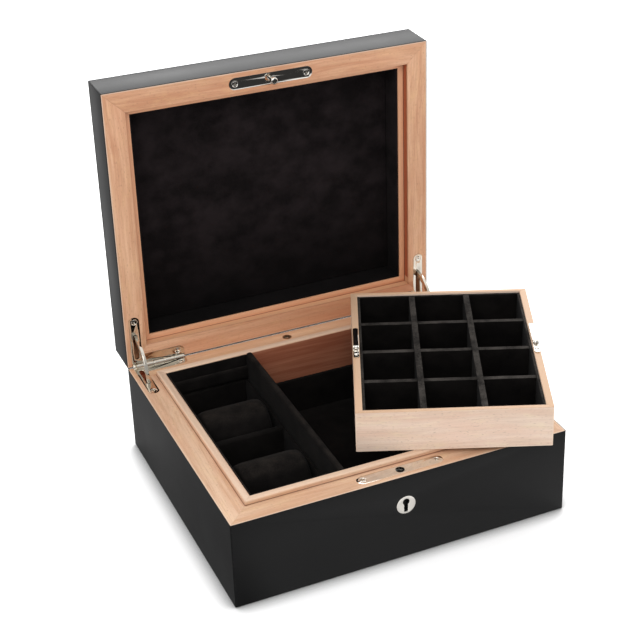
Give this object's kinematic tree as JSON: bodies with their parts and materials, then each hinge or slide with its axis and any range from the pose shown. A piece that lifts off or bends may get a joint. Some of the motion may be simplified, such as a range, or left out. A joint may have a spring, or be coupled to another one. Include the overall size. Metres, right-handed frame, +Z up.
{
  "type": "watch and jewelry box",
  "caption": "Lacquered wooden box standing open on quadrant hinges, with a lined watch bay holding cushions, a deep well, and a lift-out tray of small cells lying across its rim.",
  "frame": {"origin": "middle of the base's underside, which is 300 mm wide and 262 mm deep", "axes": "+Z up, +X to the right as seen from the front, +Y to the back, where the hinges are"},
  "size_m": [0.3555, 0.3185, 0.3422],
  "materials": {
    "black_lacquer": "black lacquer, satin",
    "pale_wood": "pale close-grained wood, oiled",
    "panel_board": "plain board",
    "steel": "plain steel",
    "polished_nickel": "polished nickel plate",
    "black_suede": "black suede over card or foam",
    "felt": "black felt"
  },
  "bodies": {
    "base": {"base_back_liner": "pale_wood", "base_back_wall": "black_lacquer", "base_bottom_panel": "panel_board", "base_felt": "felt", "base_front_liner": "pale_wood", "base_front_wall": "black_lacquer", "base_left_hinge_leaf": "polished_nickel", "base_left_liner": "pale_wood", "base_left_wall": "black_lacquer", "base_right_hinge_leaf": "polished_nickel", "base_right_liner": "pale_wood", "base_right_wall": "black_lacquer", "base_rim_strips": "pale_wood", "base_screws": "polished_nickel", "floor_linings": "black_suede", "hinge_pins": "steel", "keyhole_escutcheon": "polished_nickel", "lock_case": "steel", "lock_face_plate": "polished_nickel", "long_divider": "black_suede", "rear_rim_cup": "polished_nickel", "tray_seat_lining": "black_suede", "watch_bay_back_pad": "black_suede", "watch_bay_lining": "black_suede", "watch_bay_partition": "black_suede", "watch_pocket_lining": "black_suede"},
    "lid": {"lid_back_liner": "pale_wood", "lid_back_wall": "black_lacquer", "lid_front_liner": "pale_wood", "lid_front_wall": "black_lacquer", "lid_left_hinge_leaf": "polished_nickel", "lid_left_liner": "pale_wood", "lid_left_wall": "black_lacquer", "lid_lining_panel": "black_suede", "lid_right_hinge_leaf": "polished_nickel", "lid_right_liner": "pale_wood", "lid_right_wall": "black_lacquer", "lid_rim_strips": "pale_wood", "lid_screws": "polished_nickel", "lid_side_linings": "black_suede", "lid_top_panel": "black_lacquer", "strike_plate": "polished_nickel", "strike_post": "polished_nickel"},
    "stay_left": {"stay_left": "polished_nickel"},
    "stay_right": {"stay_right": "polished_nickel"},
    "tray": {"tray_back_board": "pale_wood", "tray_bottom": "panel_board", "tray_cross_dividers": "black_suede", "tray_front_board": "pale_wood", "tray_handle_plates": "polished_nickel", "tray_handle_screws": "polished_nickel", "tray_left_board": "pale_wood", "tray_lining": "black_suede", "tray_long_dividers": "black_suede", "tray_right_board": "pale_wood"},
    "tray_handle_left": {"tray_handle_left": "polished_nickel"},
    "tray_handle_right": {"tray_handle_right": "polished_nickel"},
    "cushion_rear": {"watch_cushion_rear": "black_suede"},
    "cushion_front": {"watch_cushion_front": "black_suede"},
    "lock_bolt": {"lock_bolt": "steel"}
  },
  "joints": [
    {"name": "lid_hinge", "type": "hinge", "parent": "base", "child": "lid", "pos_m": [0, 0.1311, 0.08015], "axis": [-1, 0, 0], "range_deg": [-90, 0]},
    {"name": "stay_left_swing", "type": "hinge", "parent": "base", "child": "stay_left", "pos_m": [-0.14025, 0.1311, 0.08015], "axis": [-1, 0, 0], "range_deg": [-45, 0]},
    {"name": "stay_right_swing", "type": "hinge", "parent": "base", "child": "stay_right", "pos_m": [0.14025, 0.1311, 0.08015], "axis": [-1, 0, 0], "range_deg": [-45, 0]},
    {"name": "tray_carry", "type": "slide", "parent": "base", "child": "tray", "axis": [0.9889, 0, 0.1483], "range_m": [0, 0.34]},
    {"name": "tray_handle_left_lift", "type": "hinge", "parent": "tray", "child": "tray_handle_left", "pos_m": [0.01907, 0.006, 0.124], "axis": [0.9198, -0.3923, 0], "range_deg": [0, 90]},
    {"name": "tray_handle_right_lift", "type": "hinge", "parent": "tray", "child": "tray_handle_right", "pos_m": [0.16257, -0.0552, 0.124], "axis": [0.9198, -0.3923, 0], "range_deg": [0, 90]},
    {"name": "cushion_rear_lift", "type": "slide", "parent": "base", "child": "cushion_rear", "axis": [0, 0, 1], "range_m": [0, 0.1]},
    {"name": "cushion_front_lift", "type": "slide", "parent": "base", "child": "cushion_front", "axis": [0, 0, 1], "range_m": [0, 0.1]},
    {"name": "lock_bolt_slide", "type": "slide", "parent": "base", "child": "lock_bolt", "axis": [1, 0, 0], "range_m": [-0.005, 0]}
  ],
  "couplings": [
    {"joint": "stay_left_swing", "follows": "lid_hinge", "ratio": 0.5},
    {"joint": "stay_right_swing", "follows": "lid_hinge", "ratio": 0.5},
    {"joint": "tray_carry", "follows": "lid_hinge", "m_per_rad": -0.2164}
  ]
}
